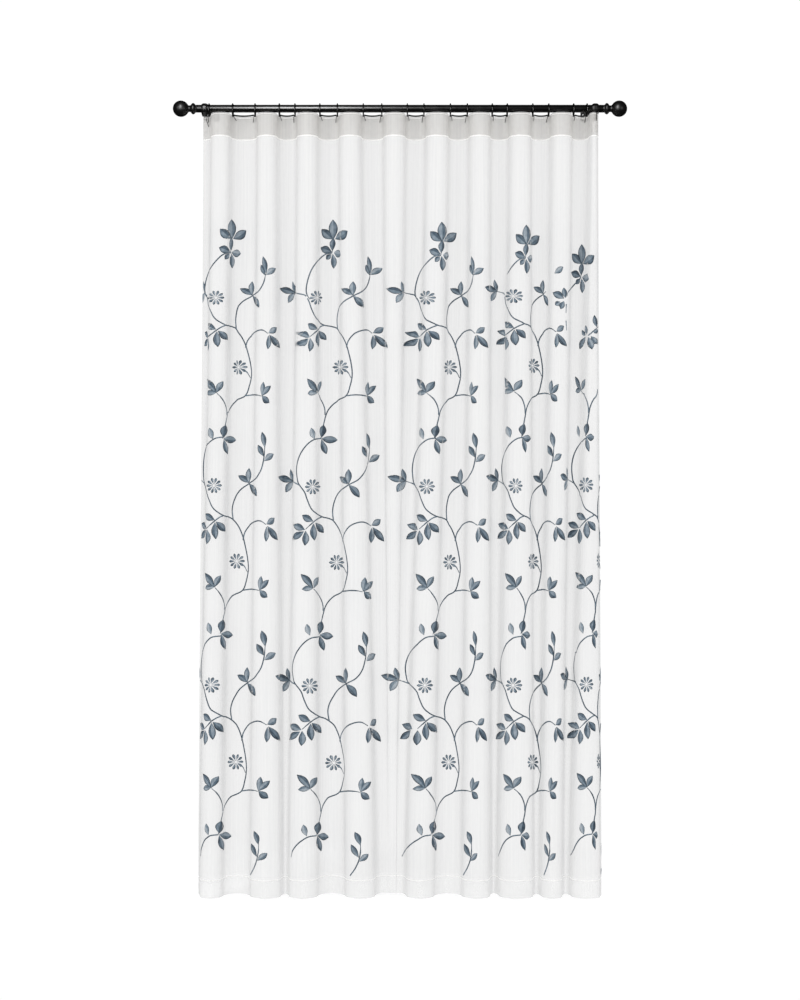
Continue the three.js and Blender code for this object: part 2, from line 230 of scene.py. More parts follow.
def fold_places(z):
    """Crest place, crest depth and end of every fold at each height.

    A fold drifts from its place at the heading to its place at the hem by half a straight fall and
    half a smooth one, and its crest lies halfway between the ends on both sides."""
    share = np.clip((HEADING_BOTTOM - z) / (HEADING_BOTTOM - CLOTH_BOTTOM), 0, 1)
    fall = ((share + share ** 2 * (3 - 2 * share)) / 2)[:, None]
    ends = FOLDS[:, 0] + (FOLDS[:, 2] - FOLDS[:, 0]) * fall
    depths = FOLDS[:, 1] + (FOLDS[:, 3] - FOLDS[:, 1]) * fall
    crests = np.empty_like(ends)
    crests[:, 1:] = (ends[:, 1:] + ends[:, :-1]) / 2
    crests[:, :1] = LEFT_EDGE[0] + (LEFT_EDGE[1] - LEFT_EDGE[0]) * fall
    crests[:, -1] = ends[:, -1]
    return crests, depths, ends


def ripples(s, z):
    """Small soft ripples of the loose cloth, in millimetres, that grow from the heading down."""
    free = np.clip((HEADING_BOTTOM - z) / 700, 0, 1)
    slow = np.sin(5.3 * s + 1.1 * np.sin(z / 410)) * np.sin(z / 620 + 0.9 * s)
    quick = np.sin(13.7 * s + z / 530) * np.sin(z / 290 + 2.1 * s)
    return free * (1.7 * slow + 0.8 * quick)


def bare_cloth(s, z):
    """The middle of the cloth where s folds from the left edge meet the height z.

    Between two crests the line seen from above is two quarters of a superellipse, x**n + y**n = 1,
    walked evenly across near the crest and evenly back near the fold's end."""
    crests, depths, ends = fold_places(z)
    fold = np.clip(np.floor(s).astype(int), 0, LAST - 1)
    across = s - fold
    second = across > 0.5
    walk = 2 * np.where(second, 1 - across, across)
    power = np.interp(z, ROUND_HEIGHTS, ROUND_POWERS)
    half = 0.5 ** (1 / power)
    near = np.clip(2 * walk * half, 0, half)
    far = np.clip(2 * (1 - walk) * half, 0, half)
    along = np.where(walk < 0.5, near, (1 - far ** power) ** (1 / power))
    out = np.where(walk < 0.5, (1 - near ** power) ** (1 / power), far)
    row = np.arange(len(s))
    here = fold + second
    crest, depth, end = crests[row, here], depths[row, here], ends[row, fold]
    middle = (depths[row, fold] + depths[row, fold + 1]) / 2
    x = crest + (end - crest) * along
    y = POLE_Y - middle - (depth - middle) * out - ripples(s, z)
    return np.stack([x, y, z], axis=1)


def cloth(s, z, lift=0.0):
    """Points lifted off the middle of the cloth towards the room, and how squarely it faces the room."""
    s, z, lift = np.broadcast_arrays(np.asarray(s, float), np.asarray(z, float), lift)
    shape = s.shape
    s, z, lift = s.ravel(), z.ravel(), lift.ravel()
    step, drop = 0.004, 1.5
    s0, s1 = np.clip(s - step, 0, LAST), np.clip(s + step, 0, LAST)
    across = bare_cloth(s1, z) - bare_cloth(s0, z)
    down = bare_cloth(s, z - drop) - bare_cloth(s, z + drop)
    normal = np.cross(down, across)
    normal /= np.linalg.norm(normal, axis=1)[:, None]
    points = bare_cloth(s, z) + normal * lift[:, None]
    return points.reshape(*shape, 3), -normal[:, 1].reshape(shape)


check, facing = cloth([0.5, 1.0, 1.5], [-200.0, -200.0, -200.0])
print("cloth at the first folds:", check.round(1).tolist(), facing.round(2).tolist())

# %% [markdown]
# A thin net looks thicker where it runs away from the eye, because more threads stand behind each
# other. That is why folds of voile show as soft lines. The share of light that a layer stops is kept
# on the mesh as a value, worked out from how steeply the cloth runs from front to back. It is right
# for an eye in front of the curtain, and stays as it is from every other side.

# %% Cover of the cloth
def cover(facing, layer, steepest=0.38):
    """Share of the view that a layer stops: one minus its open share, raised to 1 / facing."""
    return 1 - (1 - layer) ** (1 / np.clip(facing, steepest, 1))


def sheet_on_cloth(name, s, z, lift, layer, material):
    """A one-layer sheet over the cloth's own grid, with its flat pattern in metres as UV.

    The layer's share of the view may be one number, or one for each row of the grid."""
    columns, rows = np.meshgrid(s, z)
    layer = np.broadcast_to(np.reshape(layer, (-1, 1)), rows.shape)
    points, facing = cloth(columns, rows, lift)
    edge = cloth(s, np.full(len(s), z[0]), lift)[0]
    width = np.concatenate([[0], np.cumsum(np.linalg.norm(np.diff(edge, axis=0), axis=1))])
    uv = np.stack(np.meshgrid(width * MM, z * MM), axis=2).reshape(-1, 2)
    faces = grid_faces(len(z), len(s))
    values = {"cover": cover(facing, layer).ravel()}
    piece = mesh_piece(name, points.reshape(-1, 3), faces, material, uv, values)
    return piece, width[-1]


# %% [markdown]
# Polyester voile is white, very slightly cool and matt, and it glows when light stands behind it.
# Half of its shading is light that bounces back, half is light that passes through to the other side.
# Threads are 0.35 mm apart in the real cloth. They are drawn four times as coarse, so that the weave
# shows close up. Long faint slubs, thicker stretches of yarn, show from further away.

# %% Voile
THREAD = 0.0014
SLUB_WIDTH, SLUB_LENGTH = 0.006, 0.35


def woven_sheet(name, colour, roughness, glow, thread, slub_share):
    """A matt woven fabric that lets light through its threads and shows what is behind its holes."""
    material, tree = new_material(name)
    uv = add_node(tree, "ShaderNodeUVMap", {"uv_map": "UVMap"}).outputs["UV"]
    cover_value = add_node(tree, "ShaderNodeAttribute", {"attribute_name": "cover"}).outputs["Fac"]

    slub_place = add_node(tree, "ShaderNodeMapping", inputs={
        "Vector": uv, "Scale": (1 / SLUB_WIDTH, 1 / SLUB_LENGTH, 1)})
    slubs = add_node(tree, "ShaderNodeTexNoise", {"noise_dimensions": "2D"}, {
        "Vector": slub_place.outputs["Vector"], "Scale": 1.0, "Detail": 3.0, "Roughness": 0.6})
    waves = [
        add_node(tree, "ShaderNodeTexWave", {"wave_type": "BANDS", "bands_direction": direction}, {
            "Vector": uv, "Scale": math.pi / 10 / thread, "Distortion": 0.6, "Detail": 1.0,
            "Detail Scale": 2.0}).outputs["Fac"]
        for direction in ("X", "Y")]
    weave = math_node(tree, "MAXIMUM", *waves)

    uneven = math_node(tree, "MULTIPLY_ADD", slubs.outputs["Fac"], slub_share)
    uneven.node.inputs[2].default_value = 1 - slub_share / 2
    threads = math_node(tree, "MULTIPLY_ADD", weave, 0.24)
    threads.node.inputs[2].default_value = 0.86
    solid = math_node(tree, "MULTIPLY", math_node(tree, "MULTIPLY", cover_value, uneven), threads, True)

    tint = ramp(tree, slubs.outputs["Fac"], [(0.3, colour[0]), (0.7, colour[1])])
    weave_normal = bumped(tree, 0.35, 0.0003, weave)
    yarn = add_node(tree, "ShaderNodeBsdfPrincipled", inputs={
        "Base Color": tint, "Roughness": roughness, "IOR": 1.5, "Specular IOR Level": 0.2,
        "Sheen Weight": 0.15, "Sheen Roughness": 0.5, "Normal": weave_normal})
    through = add_node(tree, "ShaderNodeBsdfTranslucent", inputs={"Color": tint})
    lit = add_node(tree, "ShaderNodeMixShader", inputs={
        0: glow, 1: yarn.outputs[0], 2: through.outputs[0]})
    hole = add_node(tree, "ShaderNodeBsdfTransparent")
    mixed = add_node(tree, "ShaderNodeMixShader", inputs={
        0: solid, 1: hole.outputs[0], 2: lit.outputs[0]})
    add_node(tree, "ShaderNodeOutputMaterial", inputs={"Surface": mixed.outputs[0]})
    return material


voile = woven_sheet("woven_polyester_voile", ("#f2f2f3", "#fafaf9"), 0.9, 0.5, THREAD, 0.06)
tape_cloth = woven_sheet("woven_heading_tape", ("#e7e4df", "#f0eeea"), 0.95, 0.5, 0.0022, 0.06)

# %% [markdown]
# The panel is one open surface on the fold function. Twelve steps in each quarter of a fold keep the
# rounds smooth, and the rows are closer together under the heading, where the folds change shape.
# The photograph is paler low down, so the layer is made a little more open there, and more so in the
# hem, where a second layer lies behind it. On a real curtain the cloth is the same all over.

# %% Panel
STEPS = 12
VOILE_LAYER = 0.47
fold_steps = np.linspace(0, LAST, LAST * 2 * STEPS + 1)
hem_top = CLOTH_BOTTOM + HEM_DEPTH
row_heights = np.concatenate([
    np.linspace(CLOTH_TOP, HEADING_BOTTOM, 8)[:-1],
    np.linspace(HEADING_BOTTOM, -420, 26)[:-1],
    np.linspace(-420, hem_top, 120)[:-1],
    np.linspace(hem_top, CLOTH_BOTTOM, 6),
])
hem_share = np.clip((hem_top + 4 - row_heights) / 8, 0, 1)
low_share = np.clip((-900 - row_heights) / 1500, 0, 1)
panel, panel_width = sheet_on_cloth(
    "voile_panel", fold_steps, row_heights, 0.0,
    VOILE_LAYER * (1 - 0.08 * low_share - 0.32 * hem_share), voile)
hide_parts("panel")
print("cloth laid flat is", round(panel_width), "mm wide at the top")

# %% [markdown]
# The bottom hem is the same cloth turned up and stitched, so it is a second layer behind the first.
# The side edges have the same turn, only narrow. Each is a strip on the wall side of the panel.

# %% Hems
TURN = -0.7
SIDE_HEM_STEPS = 7
bottom_hem, _ = sheet_on_cloth(
    "bottom_hem", fold_steps, np.linspace(hem_top, CLOTH_BOTTOM + 0.5, 7), TURN, 0.12, voile)
left_hem, _ = sheet_on_cloth(
    "left_hem", fold_steps[:SIDE_HEM_STEPS], row_heights, TURN, 0.12, voile)
right_hem, _ = sheet_on_cloth(
    "right_hem", fold_steps[-SIDE_HEM_STEPS:], row_heights, TURN, 0.12, voile)

# %% [markdown]
# The heading is stiffened by a woven tape. It lies behind the voile from just under the top edge to
# the stitch line, and makes the band look grey and dense beside the thin cloth below it.

# %% Heading tape
TAPE_TOP, TAPE_FOOT, TAPE_BACK = CLOTH_TOP - 2, HEADING_BOTTOM + 2, -1.5
tape, tape_width = sheet_on_cloth(
    "heading_tape_band", fold_steps, np.linspace(TAPE_TOP, TAPE_FOOT, 9), TAPE_BACK, 0.66,
    tape_cloth)
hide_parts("heading_tape")

# %% [markdown]
# Lines of white lockstitch hold the tape and the hem. On the folds they show as bright threads, helped
# by a painted glow. Each is a thin flat tube swept along the cloth, a little proud of it, and its width
# swells at each stitch.

# %% Stitch lines
def ribbon_on_cloth(s, z, width, height, base):
    """Points and faces of a closed flat tube along a path on the cloth, eight points around.

    Each ring of points lies across the path: the wide way in the cloth, the high way off it."""
    centre, _ = cloth(s, z, base)
    raised, _ = cloth(s, z, base + 1.0)
    out = raised - centre
    ahead = np.gradient(centre, axis=0)
    side = np.cross(ahead, out)
    side /= np.linalg.norm(side, axis=1)[:, None]
    angle = np.linspace(0, 2 * np.pi, 8, endpoint=False)
    ring = (centre[:, None] + side[:, None] * (np.cos(angle) * width[:, None] / 2)[..., None]
            + out[:, None] * (np.sin(angle) * height / 2)[..., None])
    count = len(centre)
    around = np.arange(8)
    r = np.arange(count - 1)[:, None] * 8
    faces = np.stack([r + around, r + (around + 1) % 8, r + 8 + (around + 1) % 8, r + 8 + around], axis=2)
    caps = np.array([[0, 3, 2, 1], [0, 5, 4, 3], [0, 7, 6, 5]])
    end = (count - 1) * 8
    ends = np.concatenate([caps, caps[:, ::-1] + end])
    return ring.reshape(-1, 3), np.concatenate([faces.reshape(-1, 4), ends])


def stitch_line(name, z, width, height, material):
    """One line of stitches across the whole cloth at one height."""
    s = np.linspace(0.02, LAST - 0.02, 1600)
    swell = 1 + 0.25 * np.sin(s * 260)
    points, faces = ribbon_on_cloth(s, np.full(len(s), z), width * swell, height, 0.35)
    uv = np.stack([points[:, 0], points[:, 2]], axis=1) * MM
    return mesh_piece(name, points, faces, material, uv)


def thread_material(name, colour, roughness):
    """Glossy sewing thread with a fine twist, and a painted glow: light of its own though it is no lamp, to
    look brighter.
    """
    material, tree = new_material(name)
    twist = noise(tree, object_place(tree), 900.0, 2.0)
    tint = ramp(tree, twist, [(0.3, colour[0]), (0.7, colour[1])])
    # The emission is a painted glow that makes the thread brighter than its lamps light it.
    finish_with(tree, {
        "Base Color": tint, "Roughness": roughness, "Normal": bumped(tree, 0.4, 0.0003, twist),
        "Emission Color": tint, "Emission Strength": 0.22})
    return material


white_thread_painted_glow = thread_material("white_polyester_thread_painted_glow", ("#f2f1ec", "#ffffff"), 0.45)
heading_stitches = stitch_line("heading_stitches", HEADING_BOTTOM, 3.2, 0.8, white_thread_painted_glow)
top_stitches = stitch_line("top_stitches", CLOTH_TOP - 5, 1.2, 0.5, white_thread_painted_glow)
hem_stitches = stitch_line("hem_stitches", hem_top, 2.2, 0.6, white_thread_painted_glow)

# %% [markdown]
# The vines are machine embroidery in slate-blue rayon: satin-stitch leaves with a pale midrib, small
# ten-petal flowers and thin running stems. The same pattern repeats down the cloth. It is charted
# here in millimetres from the point where four leaves meet, as an embroiderer's card would be.

# %% The pattern card
VINE_STEMS = [
    [(8, 616), (-17, 611), (-42, 591), (-61, 559), (-69, 522), (-66, 484), (-60, 469), (-45, 447),
     (-36, 422), (-24, 396), (-8, 381), (11, 370), (30, 365), (45, 357), (61, 337), (74, 306),
     (83, 268), (89, 233), (91, 202), (86, 171), (74, 136), (42, 118), (22, 92), (13, 61), (6, 30),
     (0, 0)],
    [(-60, 469), (-71, 475), (-80, 480)],
    [(11, 370), (-3, 364), (-16, 354), (-30, 342), (-42, 331)],
    [(45, 357), (42, 390), (50, 422), (67, 450), (94, 470), (124, 487), (143, 512), (152, 541),
     (155, 563), (157, 586)],
    [(75, 293), (81, 318), (97, 340), (119, 351), (141, 353), (161, 342)],
    [(63, 221), (78, 212), (88, 193)],
    [(14, 75), (13, 94), (6, 114), (-6, 133), (-16, 144)],
    [(74, 136), (99, 139), (121, 138), (136, 135)],
]
# Foot x, foot z, tip x, tip z, width, and tone from dark (0) to pale (1).
VINE_LEAVES = [
    (-80, 481, -130, 495, 20, 0.2), (-80, 481, -91, 519, 14, 0.5), (-80, 481, -105, 447, 19, 0.9),
    (-17, 356, -52, 375, 20, 0.35), (-44, 329, -80, 345, 20, 0.45), (-47, 324, -83, 299, 19, 0.3),
    (-42, 326, -44, 280, 20, 0.4), (-16, 349, -13, 296, 20, 0.4), (-13, 351, 17, 320, 20, 0.15),
    (94, 472, 94, 519, 19, 0.55), (94, 472, 61, 495, 17, 0.25), (94, 470, 127, 431, 20, 0.2),
    (157, 583, 147, 632, 17, 0.35), (152, 556, 132, 591, 17, 0.2), (155, 541, 188, 563, 19, 0.7),
    (163, 343, 191, 362, 19, 0.55), (163, 335, 161, 288, 16, 0.55), (166, 337, 202, 293, 19, 0.1),
    (-17, 146, -56, 190, 20, 0.3), (-17, 146, 2, 182, 17, 0.5), (-17, 146, -53, 143, 16, 0.65),
    (138, 136, 144, 180, 17, 0.7), (138, 136, 171, 168, 17, 0.45), (138, 136, 166, 114, 20, 0.25),
    (3, 3, 10, 43, 22, 0.1), (3, 0, 44, -5, 21, 0.4), (3, -2, 17, -49, 17, 0.3),
    (-28, -2, -38, 34, 17, 1.0),
]
VINE_FLOWERS = [(-19, 464), (56, 227)]
TOP_LEAVES = [
    (5, 43, 3, 104, 26, 0.5), (3, 43, -33, 74, 25, 0.3), (8, 43, 49, 69, 26, 0.4),
    (1, 6, 5, 46, 17, 0.25), (-1, 3, -36, 16, 22, 0.2), (3, 1, 32, -4, 22, 0.7),
    (2, -3, 5, -49, 17, 0.45), (-2, -4, -18, -21, 14, 0.35),
]
TOP_STEMS = [
    [(0, 0), (-22, -5), (-44, -24), (-63, -50), (-75, -81), (-81, -113), (-78, -132), (-69, -146)],
    [(5, 48), (3, 24), (0, 0)],
]
FOOT_STEMS = [
    [(0, 0), (-25, -5), (-50, -22), (-67, -44), (-75, -67)],
    [(107, -125), (122, -103), (133, -78), (138, -50), (138, -28)],
]
FOOT_LEAVES = [(138, -31, 121, 11, 17, 0.35), (133, -69, 110, -28, 16, 0.25), (135, -81, 163, -58, 17, 0.65)]

# Each repeat of the pattern has its meeting point on the hung cloth. The folds draw the pattern
# together across, by how far each place on the card lies from that point once it hangs.
CARD_ACROSS = [-132, -81, -69, -42, -17, 0, 14, 42, 56, 91, 135, 160, 194]
CARD_UP = [0, 227, 353, 470, 616]
HUNG_UP = [[0, 224, 340, 447, 583], [0, 227, 353, 470, 616], [0, 228, 355, 475, 623]]
VINES = [
    [(-556, -1034, [-75, -56, -50, -45, -19, 0, 13, 41, 49, 91, 121, 141, 172]),
     (-564, -1645, [-75, -58, -52, -41, -17, 0, 14, 38, 52, 89, 121, 143, 173]),
     (-570, -2275, [-69, -56, -53, -41, -22, 0, 14, 39, 56, 89, 123, 151, 186])],
    [(-249, -1034, [-130, -80, -50, -33, -8, 0, 14, 52, 60, 99, 143, 161, 201]),
     (-255, -1649, [-130, -80, -69, -41, -17, 0, 14, 44, 56, 91, 136, 163, 197]),
     (-262, -2278, [-130, -83, -75, -45, -19, 0, 13, 36, 55, 89, 135, 160, 194])],
    [(107, -1034, [-152, -94, -63, -45, -24, 0, 14, 39, 45, 83, 113, 127, 161]),
     (103, -1648, [-144, -85, -64, -42, -17, 0, 16, 42, 50, 86, 115, 139, 169]),
     (97, -2276, [-158, -102, -80, -42, -17, 0, 16, 42, 55, 88, 125, 143, 169])],
    [(381, -1029, [-116, -78, -55, -50, -24, 0, 11, 28, 33, 66, 88, 107, 135]),
     (379, -1646, [-110, -72, -60, -38, -14, 0, 13, 28, 34, 64, 84, 106, 132]),
     (378, -2276, [-111, -77, -63, -45, -22, 0, 13, 27, 36, 64, 89, 108, 130])],
    [(581, -1027, [-60, -44, -38, -26, -13, 0, 10, 26, 32, 40, 46, 48, 50]),
     (602, -1643, [-100, -76, -64, -39, -19, 0, 10, 17, 20, 26, 30, 32, 34]),
     (602, -2273, [-100, -78, -57, -38, -16, 0, 10, 17, 20, 26, 30, 32, 34])],
]
# Leaves and stems of the card that a deep fold swallows, for vine and repeat counted from 0.
TUCKED_LEAVES = {(3, 0): [12, 13], (4, 0): list(range(18)) + [21, 22, 23]}
TUCKED_STEMS = {(4, 0): [1, 2, 3, 4, 5, 7]}
TUCKED_FLOWERS = {(4, 0): [0, 1]}
# What the last fold shows instead beside the edge, in millimetres of the hung cloth.
EDGE_LEAVES = [
    (585, -708, 580, -680, 16, 0.4), (583, -711, 567, -695, 13, 0.35), (582, -716, 561, -754, 16, 0.25),
    (590, -716, 602, -754, 20, 0.4), (598, -713, 620, -738, 16, 0.35), (606, -703, 621, -692, 14, 0.4),
    (617, -685, 609, -647, 13, 0.2), (514, -595, 479, -576, 21, 0.3), (519, -593, 513, -561, 15, 0.4),
    (502, -605, 486, -615, 15, 0.3), (514, -603, 504, -628, 16, 0.35),
]
EDGE_STEMS = [
    [(590, -711), (604, -699), (619, -685)],
    [(567, -529), (549, -548), (535, -564), (526, -576), (523, -588)],
    [(521, -612), (520, -640)],
    [(520, -664), (522, -695)],
]
TOP_SPRIGS = [(-531, -451, 1.0), (-213, -452, 1.0), (128, -459, 1.0), (393, -468, 0.9), (567, -529, 0.85)]

# %% [markdown]
# To lay the card on the folds, each point is looked up by where it is seen from the front: a table
# gives the place along the folds for each place across and each height. A point on a near fold looks
# a little further out than one on a far fold, so it is first drawn in towards the camera's axis.
# A second table gives the length along the cloth. With it a leaf on a steep fold side is kept from
# growing much wider than it was sewn, at the cost of a little of its width in the front view.

# %% From the front view onto the cloth
LOOK_X = np.arange(-650.0, 651.0, 1.0)
LOOK_Z = np.arange(-2470.0, -10.0, 10.0)
FINE = 60
MOST_STRETCH = 2.2
fine_steps = np.linspace(0, LAST, LAST * FINE + 1)
grid_s, grid_z = np.meshgrid(fine_steps, LOOK_Z)
grid_points = bare_cloth(grid_s.ravel(), grid_z.ravel()).reshape(*grid_s.shape, 3)
S_AT_X = np.array([np.interp(LOOK_X, row, fine_steps) for row in grid_points[..., 0]])
grid_steps = np.linalg.norm(np.diff(grid_points, axis=1), axis=2)
ARC_AT_S = np.concatenate([np.zeros((len(LOOK_Z), 1)), np.cumsum(grid_steps, axis=1)], axis=1)
LOOK_ARC = np.arange(0.0, ARC_AT_S.max(), 1.0)
S_AT_ARC = np.array([np.interp(LOOK_ARC, row, fine_steps) for row in ARC_AT_S])


def blended(table, column, z):
    """Values of a table at fractional columns and at heights, blended between the four nearest."""
    column = np.clip(column, 0, table.shape[1] - 1.001)
    row = np.clip((z - LOOK_Z[0]) / 10, 0, table.shape[0] - 1.001)
    c, r = column.astype(int), row.astype(int)
    fc, fr = column - c, row - r
    low = table[r, c] * (1 - fc) + table[r, c + 1] * fc
    high = table[r + 1, c] * (1 - fc) + table[r + 1, c + 1] * fc
    return low * (1 - fr) + high * fr


def place_along_folds(x, z):
    """The place along the folds at each x and z."""
    return blended(S_AT_X, x - LOOK_X[0], z)


def eased(s, z, width):
    """Groups of places drawn in towards their own middles until none is much wider than on the card.

    Where a fold runs from front to back, the front view alone would stretch a motif along it."""
    arc = blended(ARC_AT_S, s * FINE, z).reshape(len(s), -1)
    fixed = np.median(arc, axis=1)[:, None]
    span = arc.max(axis=1) - arc.min(axis=1)
    share = np.minimum(1, MOST_STRETCH * width / np.maximum(span, 1))[:, None]
    return blended(S_AT_ARC, (fixed + (arc - fixed) * share).reshape(s.shape), z)


def onto_cloth(x, z):
    """Place along the folds and height of points given as they are seen at the pole's distance."""
    shape = x.shape
    x, z = x.ravel(), z.ravel()
    s = place_along_folds(x, z)
    for _ in range(2):
        nearer = (POLE_Y - bare_cloth(s, z)[:, 1]) / CAMERA_DISTANCE
        seen_x, seen_z = x * (1 - nearer), EYE_Z + (z - EYE_Z) * (1 - nearer)
        s = place_along_folds(seen_x, seen_z)
    return s.reshape(shape), seen_z.reshape(shape)


def stretched(values, card, hung):
    """Values moved from card places to hung places, in straight steps that go on past both ends."""
    card, hung = np.array(card, float), np.array(hung, float)
    before = hung[0] + (values - card[0]) * (hung[1] - hung[0]) / (card[1] - card[0])
    after = hung[-1] + (values - card[-1]) * (hung[-1] - hung[-2]) / (card[-1] - card[-2])
    inside = np.interp(values, card, hung)
    return np.where(values < card[0], before, np.where(values > card[-1], after, inside))


def hang(card_x, card_z, repeat, part):
    """Card millimetres turned into millimetres of the hung cloth, for one repeat of one vine."""
    centre_x, centre_z, hung_across = repeat
    x = centre_x + stretched(card_x, CARD_ACROSS, hung_across)
    return x, centre_z + stretched(card_z, CARD_UP, HUNG_UP[part])


# %% [markdown]
# A satin-stitch leaf is a low cushion of threads. Its template is a grid from foot to tip and from
# edge to edge, widest past the middle and pointed at the tip. There are hundreds of leaves, so the
# grid is coarse. All are worked out together as one array, then each repeat's leaves are hung in
# place. The front is domed with a groove at the rib, the back lies flat behind the cloth, and both
# share their rim, so every leaf is a closed form.

# %% Leaves
ALONG, ACROSS = 8, 5


def leaf_grid(leaves):
    """Card points of every leaf, shaped (leaf, along, across, 2), from its foot, tip and width.

    Half width = 0.56 * width times sin(pi * u ** 1.15) ** 0.85, and the middle line bows a little."""
    feet, tips, width = leaves[:, 0:2], leaves[:, 2:4], leaves[:, 4]
    u = np.linspace(0, 1, ALONG)[None, :, None, None]
    v = np.linspace(-1, 1, ACROSS)[None, None, :, None]
    axis = (tips - feet)[:, None, None, :]
    length = np.linalg.norm(axis, axis=-1, keepdims=True)
    side = np.stack([-axis[..., 1], axis[..., 0]], axis=-1) / length
    bow = 0.05 * length * np.sin(np.arange(len(leaves)) * 2.4)[:, None, None, None] * np.sin(np.pi * u)
    half = width[:, None, None, None] * 0.56 * np.sin(np.pi * np.clip(u, 0.012, 0.988) ** 1.15) ** 0.85
    return feet[:, None, None, :] + axis * u + side * (bow + half * v)


def cushions(s, z, tone, rise, back):
    """Closed low cushions from grids on the cloth shaped (n, along, across): points, faces, UV and tone."""
    n, along, across = s.shape
    u = np.linspace(0, 1, along)[None, :, None]
    v = np.linspace(-1, 1, across)[None, None, :]
    dome = np.sqrt(np.sin(np.pi * u) * (1 - v ** 2) + 1e-6)
    groove = 0.35 * np.exp(-(v / 0.18) ** 2)
    front, _ = cloth(s, z, 0.25 + rise * dome * (1 - groove))
    rear, _ = cloth(s, z, np.broadcast_to(back * np.sqrt(dome) + 0.25 * (1 - np.sqrt(dome)), s.shape))
    rim = np.zeros((along, across), bool)
    rim[[0, -1]] = True
    rim[:, [0, -1]] = True
    size = along * across
    inner = np.full(size, -1)
    inner[~rim.ravel()] = size + np.arange((~rim).sum())
    back_index = np.where(rim.ravel(), np.arange(size), inner)
    quads = grid_faces(along, across)
    one = np.concatenate([quads, back_index[quads][:, ::-1]])
    count = size + (~rim).sum()
    points = np.concatenate([front.reshape(n, size, 3), rear.reshape(n, size, 3)[:, ~rim.ravel()]], axis=1)
    flat_uv = np.stack(np.broadcast_arrays(u[0], (v[0] + 1) / 2), axis=-1).reshape(size, 2)
    one_uv = np.concatenate([flat_uv, flat_uv[~rim.ravel()]])
    faces = (one[None] + (np.arange(n) * count)[:, None, None]).reshape(-1, 4)
    uv = np.tile(one_uv, (n, 1))
    return points.reshape(-1, 3), faces, uv, np.repeat(tone, count)


def on_the_cloth(s):
    """Which grids lie mostly inside the side edges of the cloth."""
    inside = (s > 0.02) & (s < LAST - 0.02)
    return inside.reshape(len(s), -1).mean(axis=1) > 0.35


def card_width(grid):
    """How wide each leaf of a card grid is."""
    return grid[..., 0].max(axis=(1, 2)) - grid[..., 0].min(axis=(1, 2))


leaf_card = np.array(VINE_LEAVES)
first_card = leaf_card.copy()
first_card[12, :5], first_card[13, :5] = (155, 545, 142, 603, 18), (150, 540, 134, 575, 17)
foot_card = np.array(FOOT_LEAVES)
leaf_sets = []
for v, vine in enumerate(VINES):
    for part, repeat in enumerate(vine):
        card = [first_card, leaf_card, np.concatenate([leaf_card, foot_card])][part]
        card = np.delete(card, TUCKED_LEAVES.get((v, part), []), axis=0)
        grid = leaf_grid(card)
        leaf_sets.append((*hang(grid[..., 0], grid[..., 1], repeat, part), card[:, 5], card_width(grid)))
for x, z, squeeze in TOP_SPRIGS:
    grid = leaf_grid(np.array(TOP_LEAVES))
    hung_x, hung_z = x + grid[..., 0] * squeeze, z + grid[..., 1]
    leaf_sets.append((hung_x, hung_z, np.array(TOP_LEAVES)[:, 5], card_width(grid)))
grid = leaf_grid(np.array(EDGE_LEAVES))
leaf_sets.append((grid[..., 0], grid[..., 1], np.array(EDGE_LEAVES)[:, 5], card_width(grid)))
leaf_x, leaf_z, leaf_tone, leaf_width = (np.concatenate([one[i] for one in leaf_sets]) for i in range(4))
leaf_s, leaf_z = onto_cloth(leaf_x, leaf_z)
kept = on_the_cloth(leaf_s)
leaf_s, leaf_z, leaf_tone, leaf_width = leaf_s[kept], leaf_z[kept], leaf_tone[kept], leaf_width[kept]
leaf_s = eased(leaf_s, leaf_z, leaf_width)
print(len(leaf_s), "leaves")

# %% [markdown]
# Rayon embroidery thread is smooth and shiny, and satin stitches lie side by side, slanting from the
# midrib to the edge. One half of a leaf is painted paler than the other, a painted sheen for the light
# that its slanted stitches catch, and the stitch ridges carry painted light and shade. Stitches are
# 0.4 mm apart in the real thing. They are drawn 38 to a leaf, a little over 1 mm apart, so that they
# show close up.

# %% Embroidery thread
STITCHES, STITCH_SLANT = 38.0, 22.0


